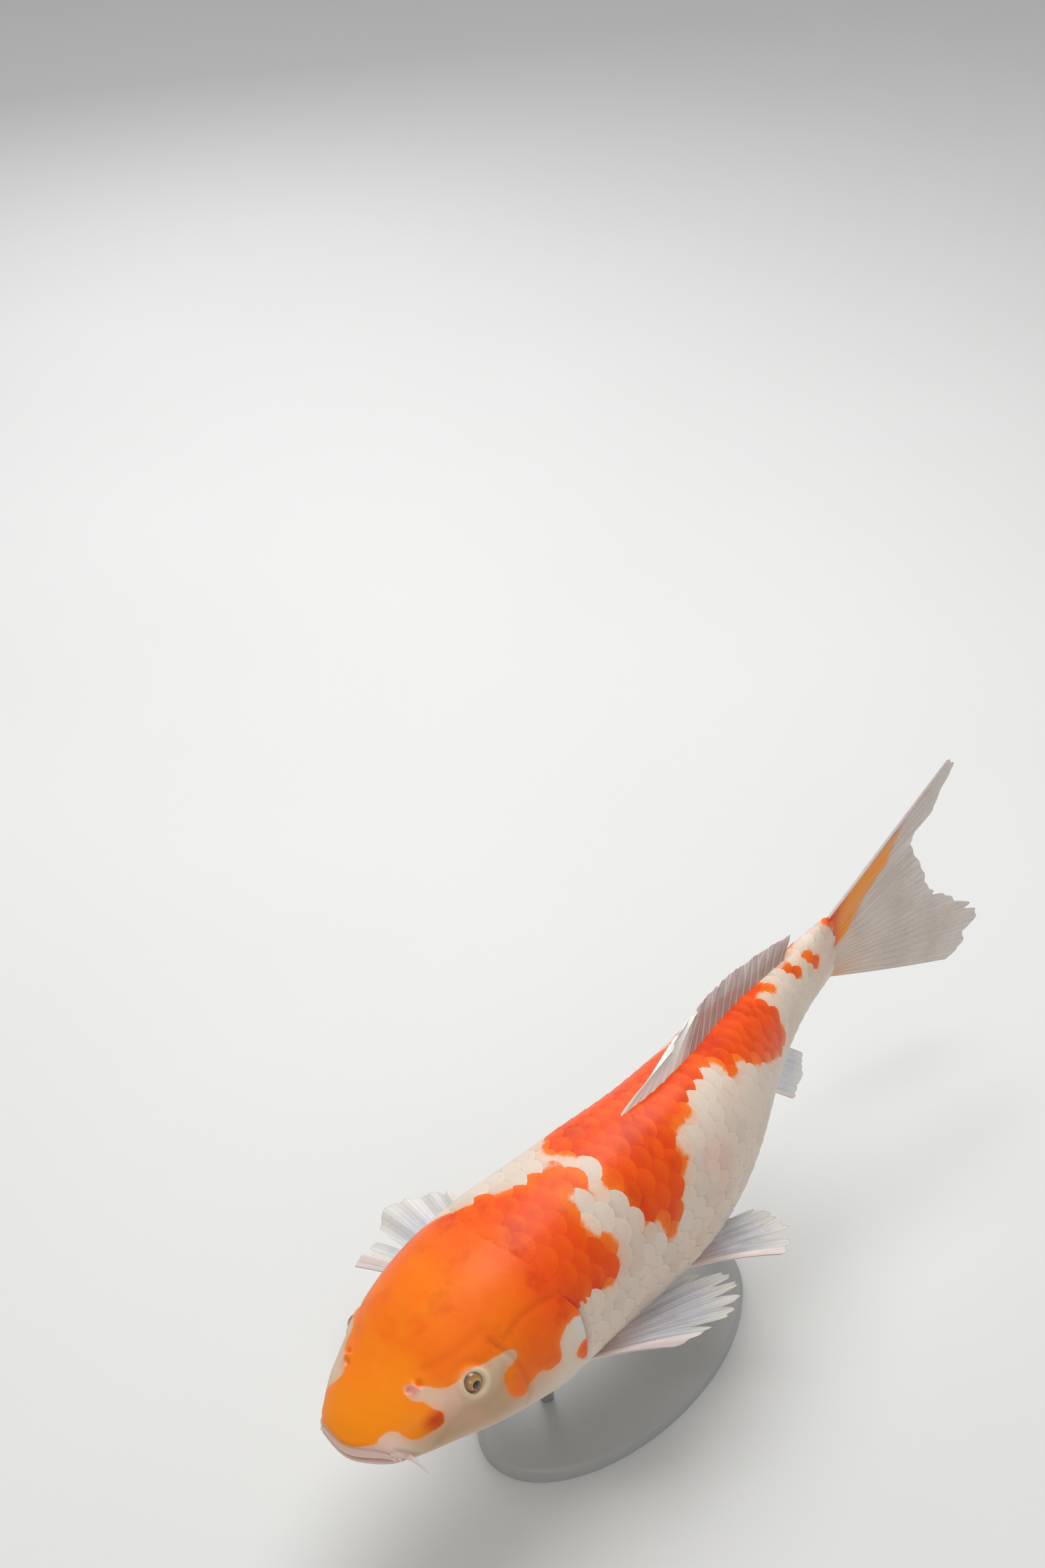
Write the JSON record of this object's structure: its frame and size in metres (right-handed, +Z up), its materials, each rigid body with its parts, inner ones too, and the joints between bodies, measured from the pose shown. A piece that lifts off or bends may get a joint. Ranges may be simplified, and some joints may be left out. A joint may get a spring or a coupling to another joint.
{
  "type": "koi carp model",
  "caption": "Life-size koi carp in orange and white, gliding with a gentle bend, held over an oval base by short rods.",
  "frame": {"origin": "middle of the underside of the oval stand base, on the surface that the stand rests on", "axes": "-Y is the way the fish faces, +X its left side, +Z up"},
  "size_m": [0.2369, 0.6401, 0.2525],
  "materials": {
    "koi_skin": "wet scaled skin, orange and white",
    "koi_pale_skin": "wet smooth skin, warm white",
    "fin_membrane": "thin rayed membrane, milky grey",
    "eye": "clear domed eye with a gold iris",
    "stand_base_finish": "satin pale grey paint",
    "stand_rod_finish": "satin steel"
  },
  "bodies": {
    "root": {"head": "koi_skin", "lower_jaw": "koi_pale_skin", "gill_cover_left": "koi_pale_skin", "gill_cover_right": "koi_pale_skin", "eye_left": "eye", "eye_right": "eye", "barbel_upper_left": "koi_pale_skin", "barbel_upper_right": "koi_pale_skin", "barbel_corner_left": "koi_pale_skin", "barbel_corner_right": "koi_pale_skin", "trunk_front": "koi_skin", "trunk_rear": "koi_skin", "tail_stalk": "koi_skin", "dorsal_fin": "fin_membrane", "anal_fin": "fin_membrane", "tail_fin_upper": "fin_membrane", "tail_fin_lower": "fin_membrane", "pectoral_fin_left": "fin_membrane", "pectoral_fin_right": "fin_membrane", "pelvic_fin_left": "fin_membrane", "pelvic_fin_right": "fin_membrane", "stand_base": "stand_base_finish", "stand_rod_front": "stand_rod_finish", "stand_rod_rear": "stand_rod_finish"}
  },
  "joints": []
}
